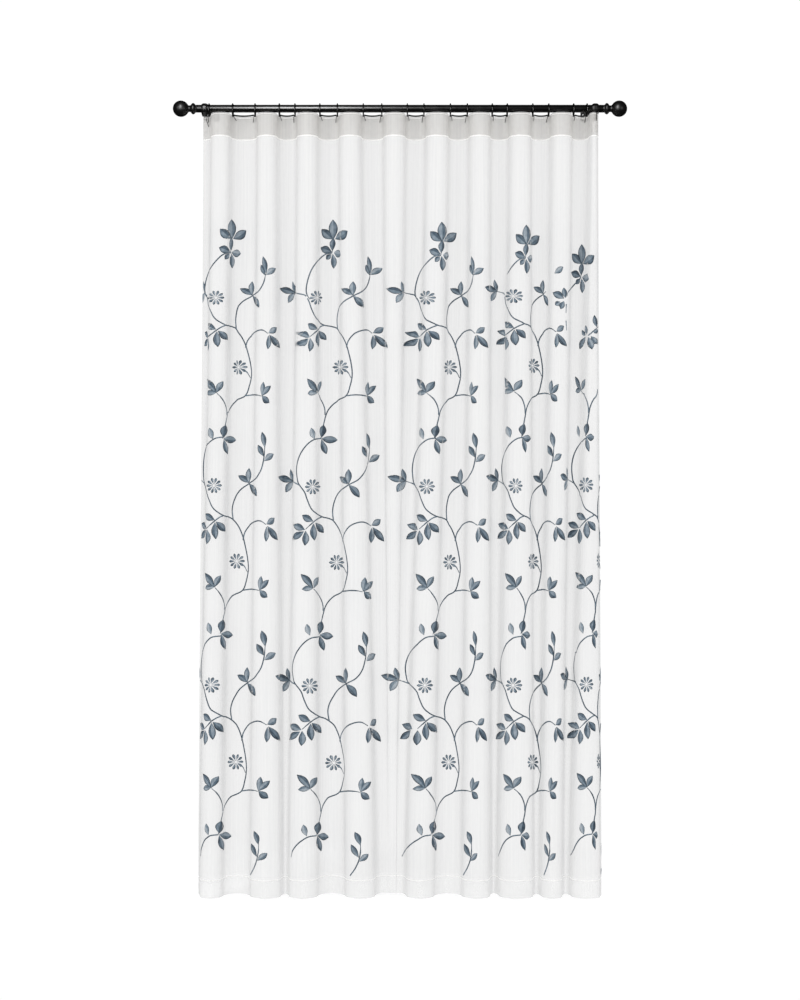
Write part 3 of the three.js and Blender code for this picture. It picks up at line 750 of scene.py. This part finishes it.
def satin_thread(name, darkest, dark, light, palest):
    """Slanting satin stitches: a painted sheen that makes one half paler, a pale rib, dark ends, and fine
    ridges of painted light and shade.
    """
    material, tree = new_material(name)
    uv = add_node(tree, "ShaderNodeUVMap", {"uv_map": "UVMap"}).outputs["UV"]
    place = add_node(tree, "ShaderNodeSeparateXYZ", inputs={"Vector": uv})
    u, v = place.outputs["X"], place.outputs["Y"]
    tone = add_node(tree, "ShaderNodeAttribute", {"attribute_name": "tone"}).outputs["Fac"]
    off_rib = math_node(tree, "ABSOLUTE", math_node(tree, "SUBTRACT", v, 0.5), 0.0)
    lengthwise = math_node(tree, "MULTIPLY", u, STITCHES)
    sideways = math_node(tree, "MULTIPLY", off_rib, STITCH_SLANT)
    slant = math_node(tree, "ADD", lengthwise, sideways)
    ridge = math_node(tree, "SINE", math_node(tree, "MULTIPLY", slant, 2 * math.pi), 0.0)
    # Painted sheen: one half of each leaf is made paler, as the light caught by its slanted stitches would
    # make it.
    half = eased_step(tree, v, 0.46, 0.56, -0.16, 0.2)
    cloudy = noise(tree, object_place(tree), 60.0, 3.0)
    sway = math_node(tree, "MULTIPLY", math_node(tree, "SUBTRACT", cloudy, 0.5), 0.9)
    rib = eased_step(tree, off_rib, 0.0, 0.07, 0.22, 0.0)
    edge = eased_step(tree, off_rib, 0.3, 0.5, 0.0, -0.3)
    ends = eased_step(tree, u, 0.62, 1.0, 0.0, -0.25)
    level = math_node(tree, "MULTIPLY_ADD", tone, 0.62)
    level.node.inputs[2].default_value = 0.25
    # The ridges go into the colour as well as the bump: painted light on each stitch and painted shade
    # between stitches.
    for part in (half, sway, rib, edge, ends, math_node(tree, "MULTIPLY", ridge, 0.05)):
        level = math_node(tree, "ADD", level, part)
    colour = ramp(tree, level, [(0.0, darkest), (0.3, dark), (0.65, light), (1.0, palest)])
    finish_with(tree, {
        "Base Color": colour, "Roughness": 0.42, "Specular IOR Level": 0.35, "Sheen Weight": 0.1,
        "Normal": bumped(tree, 0.5, 0.0004, ridge)})
    return material


slate_thread = satin_thread("slate_rayon_satin_stitch_painted_sheen", "#3c4d5c", "#586d7e", "#8b9caa", "#bcc6ce")
points, faces, uv, tone = cushions(leaf_s, leaf_z, leaf_tone, 0.9, -0.35)
mesh_piece("embroidered_leaves", points, faces, slate_thread, uv, {"tone": tone})

# %% [markdown]
# Each flower is a ring of ten drops of satin stitch around an open middle, every drop narrow at the
# middle and round outside. They use the same cushions as the leaves, with fewer points.

# %% Flowers
PETALS, PETAL_START, PETAL_END, PETAL_WIDTH = 10, 3.5, 24.5, 8.4


def petal_grid(flower_x, flower_z):
    """Card points of the petals of flowers: drops from an inner to an outer ring around each middle."""
    u = np.linspace(0, 1, 6)[None, :, None]
    v = np.linspace(-1, 1, 5)[None, None, :]
    turn = (np.arange(PETALS) / PETALS * 2 * np.pi + 0.3)[:, None, None]
    along = PETAL_START + (PETAL_END - PETAL_START) * u
    half = PETAL_WIDTH / 2 * np.sin(np.pi * np.clip(u, 0.1, 0.98) ** 2.3) ** 0.6
    x = along * np.sin(turn) + half * v * np.cos(turn)
    z = along * np.cos(turn) - half * v * np.sin(turn)
    x, z = flower_x[:, None, None, None] + x, flower_z[:, None, None, None] + z
    return x.reshape(-1, 6, 5), z.reshape(-1, 6, 5)


flower_card = np.array(VINE_FLOWERS, float)
petal_sets = []
for v, vine in enumerate(VINES):
    for part, repeat in enumerate(vine):
        card = np.delete(flower_card, TUCKED_FLOWERS.get((v, part), []), axis=0)
        if len(card):
            petal_sets.append(hang(*petal_grid(card[:, 0], card[:, 1]), repeat, part))
petal_x, petal_z = (np.concatenate([one[i] for one in petal_sets]) for i in range(2))
petal_s, petal_z = onto_cloth(petal_x, petal_z)
flower_s, flower_z = petal_s.reshape(-1, PETALS, 6, 5), petal_z.reshape(-1, PETALS, 6, 5)
kept = on_the_cloth(flower_s)
flower_s, flower_z = flower_s[kept], flower_z[kept]
flower_s = eased(flower_s, flower_z, np.full(len(flower_s), 2 * PETAL_END))
petal_s, petal_z = flower_s.reshape(-1, 6, 5), flower_z.reshape(-1, 6, 5)
petal_tone = 0.2 + 0.5 * (np.sin(np.arange(len(petal_s)) * 1.7) * 0.5 + 0.5)
points, faces, uv, tone = cushions(petal_s, petal_z, petal_tone, 0.7, -0.35)
mesh_piece("embroidered_flowers", points, faces, slate_thread, uv, {"tone": tone})

# %% [markdown]
# Stems are narrow rope stitch. Each is the same flat closed tube as the seams, laid along its smoothed
# path from the card, 4 mm wide and thinner at its free end.

# %% Stems
def smooth_path(corners, step=0.7):
    """Evenly spaced points on the rounded path through the corners, by cubic blending of four at a time."""
    p = np.array(corners, float)
    p = np.concatenate([[2 * p[0] - p[1]], p, [2 * p[-1] - p[-2]]])
    t = np.linspace(0, 1, 12, endpoint=False)[:, None, None]
    a, b, c, d = p[:-3], p[1:-2], p[2:-1], p[3:]
    curve = 0.5 * (2 * b + (c - a) * t + (2 * a - 5 * b + 4 * c - d) * t ** 2
                   + (3 * b - a - 3 * c + d) * t ** 3)
    curve = np.concatenate([curve.transpose(1, 0, 2).reshape(-1, 2), p[-2:-1]])
    length = np.concatenate([[0], np.cumsum(np.linalg.norm(np.diff(curve, axis=0), axis=1))])
    even = np.linspace(0, length[-1], max(3, int(length[-1] / step)))
    return np.stack([np.interp(even, length, curve[:, i]) for i in (0, 1)], axis=1)


STEM_WIDTH = 4.0
LEAF_PER_MM = 0.027
stem_points, stem_faces, stem_uv, stem_count = [], [], [], 0


def lay_stem(x, z):
    """Adds one stem along seen points to the joined stems, cut off where it leaves the cloth."""
    global stem_count
    s, z = onto_cloth(x, z)
    inside = (s > 0.02) & (s < LAST - 0.03)
    cuts = np.flatnonzero(np.diff(inside.astype(int))) + 1
    for run in np.split(np.arange(len(s)), cuts):
        if not inside[run[0]] or len(run) < 8:
            continue
        centre, _ = cloth(s[run], z[run])
        length = np.concatenate([[0], np.cumsum(np.linalg.norm(np.diff(centre, axis=0), axis=1))])
        even = np.linspace(0, length[-1], max(4, int(length[-1] / 3)))
        run_s, run_z = np.interp(even, length, s[run]), np.interp(even, length, z[run])
        taper = np.clip(np.arange(len(even), 0, -1) / 8, 0.6, 1)
        points, faces = ribbon_on_cloth(run_s, run_z, STEM_WIDTH * taper, 1.0, 0.45)
        stem_points.append(points)
        stem_faces.append(faces + stem_count)
        round_stem = np.tile(np.abs(np.linspace(-1, 1, 8)), len(even))
        stem_uv.append(np.stack([np.repeat(even * LEAF_PER_MM, 8), round_stem], axis=1))
        stem_count += len(points)


for v, vine in enumerate(VINES):
    for part, repeat in enumerate(vine):
        tucked = TUCKED_STEMS.get((v, part), [])
        stems = [smooth_path(stem) for n, stem in enumerate(VINE_STEMS) if n not in tucked]
        if (v, part) == (4, 0):
            stems[0] = stems[0][stems[0][:, 1] < 150]
        elif part == 0:
            stems[0] = stems[0][stems[0][:, 1] < 462]
            stems[3] = stems[3][stems[3][:, 1] < (480 if v == 3 else 545)]
        if part == 2:
            stems += [smooth_path(stem) for stem in FOOT_STEMS]
        for path in stems:
            lay_stem(*hang(path[:, 0], path[:, 1], repeat, part))
for (x, z, squeeze), vine in zip(TOP_SPRIGS, VINES):
    longest = {3: 4, 4: 0}.get(VINES.index(vine), 99)
    for stem in (TOP_STEMS[0][:longest], TOP_STEMS[1]):
        if len(stem) < 2:
            continue
        path = smooth_path(stem)
        lay_stem(x + path[:, 0] * squeeze, z + path[:, 1])
for stem in EDGE_STEMS:
    lay_stem(*smooth_path(stem).T)
stem_points, stem_faces = np.concatenate(stem_points), np.concatenate(stem_faces)
stem_uv = np.concatenate(stem_uv)
stem_tone = np.full(len(stem_points), 0.25)
mesh_piece("embroidered_stems", stem_points, stem_faces, slate_thread, stem_uv, {"tone": stem_tone})

# %% [markdown]
# The pole is steel tube with black powder coat: satin, almost colourless, with the very fine pitted
# skin that melted powder leaves. Its broad soft highlight comes from the roughness, and the skin from
# a bump whose grain is 0.5 mm across.

# %% Black metal
def powder_coat(name, colour, roughness):
    """Satin black coating with a fine pitted skin and slightly uneven gloss."""
    material, tree = new_material(name)
    place = object_place(tree)
    haze = noise(tree, place, 35.0, 3.0)
    tint = ramp(tree, haze, [(0.35, colour[0]), (0.7, colour[1])])
    gloss = add_node(tree, "ShaderNodeMapRange", inputs={
        "Value": haze, "To Min": roughness - 0.05, "To Max": roughness + 0.07})
    finish_with(tree, {
        "Base Color": tint, "Roughness": gloss.outputs[0], "Specular IOR Level": 0.35,
        "Normal": bumped(tree, 0.25, 0.0001, noise(tree, place, 2000.0, 2.0))})
    return material


def waxed_cord(name, colour):
    """Matt black braided cord: strands that cross every 1.5 mm, with painted light on their crests and
    painted shade in the grooves, and a rough waxy skin.
    """
    material, tree = new_material(name)
    place = object_place(tree)
    braid = add_node(tree, "ShaderNodeTexWave", {"wave_type": "BANDS", "bands_direction": "DIAGONAL"}, {
        "Vector": place, "Scale": math.pi / 10 / 0.0015, "Distortion": 1.5, "Detail": 1.0})
    # The braid's height also sets its colour: painted shade in the grooves and painted light on the crests.
    tint = ramp(tree, braid.outputs["Fac"], [(0.2, colour[0]), (0.9, colour[1])])
    finish_with(tree, {
        "Base Color": tint, "Roughness": 0.8, "Specular IOR Level": 0.2,
        "Normal": bumped(tree, 0.6, 0.0004, braid.outputs["Fac"])})
    return material


black_coat = powder_coat("black_powder_coated_steel", ("#050505", "#0a0a0a"), 0.24)
black_casting = powder_coat("black_powder_coated_casting", ("#050505", "#0a0a0a"), 0.38)
black_cord = waxed_cord("black_waxed_cord_painted_shade", ("#070707", "#1a1a1a"))

# %% [markdown]
# Pole, finials and rings are turned or bent round stock, so each is a profile carried round an axis.
# The solids have few flat sides to stay light. The pieces here repeat their sizes with many more.

# %% Turned parts
def turned(profile, sides, centre, axis_sign=1):
    """A closed surface from (radius, along) pairs turned about the X axis through a centre."""
    profile = np.array(profile, float)
    angle = np.linspace(0, 2 * np.pi, sides, endpoint=False)
    radius, along = profile[:, 0, None], profile[:, 1, None]
    y, z = radius * np.sin(angle), radius * np.cos(angle)
    ring = np.stack(np.broadcast_arrays(along * axis_sign, y, z), axis=2)
    points = ring.reshape(-1, 3) + np.array(centre)
    r = np.arange(len(profile) - 1)[:, None] * sides
    a = np.arange(sides)
    b = (a + 1) % sides
    faces = np.stack([r + a, r + b, r + sides + b, r + sides + a], axis=2).reshape(-1, 4)
    return points, faces if axis_sign < 0 else faces[:, ::-1]


def rounded(corners, radius, steps=5):
    """A profile with every inner corner cut back by a radius and rounded by a quadratic blend."""
    p = np.array(corners, float)
    out = [p[0]]
    for before, here, after in zip(p[:-2], p[1:-1], p[2:]):
        back, ahead = before - here, after - here
        cut = min(radius, 0.45 * np.linalg.norm(back), 0.45 * np.linalg.norm(ahead))
        start = here + back / np.linalg.norm(back) * cut
        end = here + ahead / np.linalg.norm(ahead) * cut
        t = np.linspace(0, 1, steps)[:, None]
        out.extend((1 - t) ** 2 * start + 2 * t * (1 - t) * here + t ** 2 * end)
    out.append(p[-1])
    return np.array(out)


POLE_RADIUS, POLE_HALF = 12.0, 636.0
CENTRE = (0.0, POLE_Y, POLE_Z)
TINY = 0.05
pole_profile = rounded([(TINY, -POLE_HALF), (POLE_RADIUS, -POLE_HALF), (POLE_RADIUS, POLE_HALF),
                        (TINY, POLE_HALF)], 0.8)
points, faces = turned(pole_profile, 64, CENTRE)
pole_tube = mesh_piece("pole_tube", points, faces, black_coat)
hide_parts("pole")

BEAD_RADIUS, BEAD_CENTRE, BEAD_HALF, BEAD_DEGREES = 17.5, 648.0, 9.5, (42, 138)
BALL_RADIUS, BALL_CENTRE, BALL_DEGREES = 25.2, 686.6, (28, 180)
WAIST_RADIUS = 10.0
bead_angle = np.radians(np.linspace(*BEAD_DEGREES, 17))
ball_angle = np.radians(np.linspace(*BALL_DEGREES, 33))
bead = np.stack([BEAD_RADIUS * np.sin(bead_angle), BEAD_CENTRE - BEAD_HALF * np.cos(bead_angle)], axis=1)
ball = np.stack([BALL_RADIUS * np.sin(ball_angle), BALL_CENTRE - BALL_RADIUS * np.cos(ball_angle)], axis=1)
ball[-1, 0] = TINY
neck_start = POLE_HALF + 0.3
waist_along = (bead[-1, 1] + ball[0, 1]) / 2
waist_turn = np.linspace(0, 1, 9)[1:-1, None]
waist_middle = np.array([2 * WAIST_RADIUS - (bead[-1, 0] + ball[0, 0]) / 2, waist_along])
waist = ((1 - waist_turn) ** 2 * bead[-1] + 2 * waist_turn * (1 - waist_turn) * waist_middle
         + waist_turn ** 2 * ball[0])
finial_profile = np.concatenate([
    [(TINY, neck_start), (POLE_RADIUS - 0.4, neck_start), (POLE_RADIUS, neck_start + 0.4)],
    bead, waist, ball])
for name, sign in (("left", -1), ("right", 1)):
    points, faces = turned(finial_profile, 56, CENTRE, sign)
    finial = mesh_piece(f"ball_finial_{name}", points, faces, black_casting)
    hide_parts(f"finial_{name}")

# %% [markdown]
# The rings are 4 mm steel wire bent round and welded. Each is a small circle carried round a large one,
# and takes its place from the solid ring's box.

# %% Rings
def torus(centre, radius, wire, around=48, about=14):
    """A ring about the X axis: a circle of the wire's radius carried round the ring's radius."""
    big = np.linspace(0, 2 * np.pi, around, endpoint=False)[:, None]
    small = np.linspace(0, 2 * np.pi, about, endpoint=False)[None, :]
    reach = radius + wire * np.cos(small)
    y, z = reach * np.sin(big), reach * np.cos(big)
    points = np.stack(np.broadcast_arrays(wire * np.sin(small), y, z), axis=2)
    a, s = np.meshgrid(np.arange(around), np.arange(about), indexing="ij")
    b, t = (a + 1) % around, (s + 1) % about
    faces = np.stack([a * about + s, b * about + s, b * about + t, a * about + t], axis=2).reshape(-1, 4)
    return points.reshape(-1, 3) + centre, faces


RING_RADIUS, RING_WIRE, RINGS = 19.5, 2.0, 19
for number in range(1, RINGS + 1):
    low, high = (np.array(corner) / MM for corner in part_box(f"ring_{number:02d}"))
    points, faces = torus((low + high) / 2, RING_RADIUS, RING_WIRE)
    ring = mesh_piece(f"wire_ring_{number:02d}", points, faces, black_coat)
    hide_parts(f"ring_{number:02d}")

# %% [markdown]
# Brackets, hooks and the short cords between rings keep their solids, which have the right shape, and
# only get the right finish.

# %% Finish of the solids that stay
for node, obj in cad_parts.items():
    finish = {"link": black_cord, "bracket": black_casting}.get(node.split("_")[0], black_coat)
    if node.startswith(("link", "hook", "bracket")):
        for slot in obj.material_slots:
            slot.material = finish
print("finished the brackets, hooks and cords")

# %% [markdown]
# The studio is white all round. The floor under the hem is matt white with a faint glow of its own, as
# one lit from below through frosted acrylic has, because it melts into the white behind. It is there
# for the picture and gives the cloth no light. Two soft boxes beside the camera model the folds. A tall
# strip, high on the left, is seen by shiny surfaces alone and draws the highlight along the pole. The
# white behind looks brighter than the light it gives, and is dark to shiny surfaces, so black metal
# stays black.

# %% Studio
FLOOR_DROP = 22.0
FLOOR_HALF_WIDTH, FLOOR_FRONT, FLOOR_BACK = 1700.0, -700.0, 900.0


def pale_floor(name):
    """A matt white floor that glows a little, as one lit through frosted acrylic does."""
    material, tree = new_material(name)
    tint = ramp(tree, noise(tree, object_place(tree), 3.0, 4.0), [(0.3, "#fafafa"), (0.7, "#ffffff")])
    finish_with(tree, {
        "Base Color": tint, "Roughness": 0.9, "Specular IOR Level": 0.1,
        "Emission Color": linear("#ffffff"), "Emission Strength": 0.33})
    return material


FLOOR_Z = cad_box[0][2] / MM - FLOOR_DROP
corners = np.array([
    [-FLOOR_HALF_WIDTH, FLOOR_FRONT, FLOOR_Z], [FLOOR_HALF_WIDTH, FLOOR_FRONT, FLOOR_Z],
    [FLOOR_HALF_WIDTH, FLOOR_BACK, FLOOR_Z], [-FLOOR_HALF_WIDTH, FLOOR_BACK, FLOOR_Z]])
floor_mesh = bpy.data.meshes.new("studio_floor")
floor_mesh.from_pydata((corners * MM).tolist(), [], [(0, 1, 2, 3)])
floor_mesh.materials.append(pale_floor("white_studio_floor"))
floor = bpy.data.objects.new("studio_floor", floor_mesh)
bpy.context.collection.objects.link(floor)
floor.visible_diffuse = False
floor.visible_transmission = False
floor.visible_glossy = False


def soft_box(name, place, target, size, power):
    """A rectangular area lamp at a place in metres, turned to face a target."""
    data = bpy.data.lights.new(name, "AREA")
    data.shape, data.size, data.size_y, data.energy = "RECTANGLE", size[0], size[1], power
    lamp = bpy.data.objects.new(name, data)
    lamp.location = place
    aim = np.array(target) - np.array(place)
    tilt = math.atan2(math.hypot(aim[0], aim[1]), -aim[2])
    lamp.rotation_euler = (tilt, 0, math.atan2(aim[1], aim[0]) - math.pi / 2)
    lamp.visible_camera = False
    bpy.context.collection.objects.link(lamp)
    return lamp


soft_box("left_box", (-3.3, -4.4, 0.3), (0, -0.1, -1.0), (1.5, 1.9), 75)
soft_box("right_box", (3.3, -4.4, 0.1), (0, -0.1, -1.2), (1.4, 1.9), 45)
pole_light = soft_box("pole_light", (-0.72, -3.0, 0.95), (-0.48, -0.1, 0.0), (0.78, 2.3), 200)
pole_light.visible_diffuse = False
pole_light.visible_transmission = False

LIGHT_AROUND, LIGHT_MIRRORED, WHITE_BEHIND = 0.66, 0.04, 1.02
world = bpy.data.worlds.new("white_studio")
world.use_nodes = True
world.node_tree.nodes.clear()
path = add_node(world.node_tree, "ShaderNodeLightPath").outputs
around, mirrored, behind = (
    add_node(world.node_tree, "ShaderNodeBackground", inputs={
        "Color": linear("#ffffff"), "Strength": strength}).outputs[0]
    for strength in (LIGHT_AROUND, LIGHT_MIRRORED, WHITE_BEHIND))
unseen = add_node(world.node_tree, "ShaderNodeMixShader", inputs={
    0: path["Is Glossy Ray"], 1: around, 2: mirrored}).outputs[0]
both = add_node(world.node_tree, "ShaderNodeMixShader", inputs={
    0: path["Is Camera Ray"], 1: unseen, 2: behind})
add_node(world.node_tree, "ShaderNodeOutputWorld", inputs={"Surface": both.outputs[0]})
bpy.context.scene.world = world
bpy.context.scene.view_settings.view_transform = "Standard"
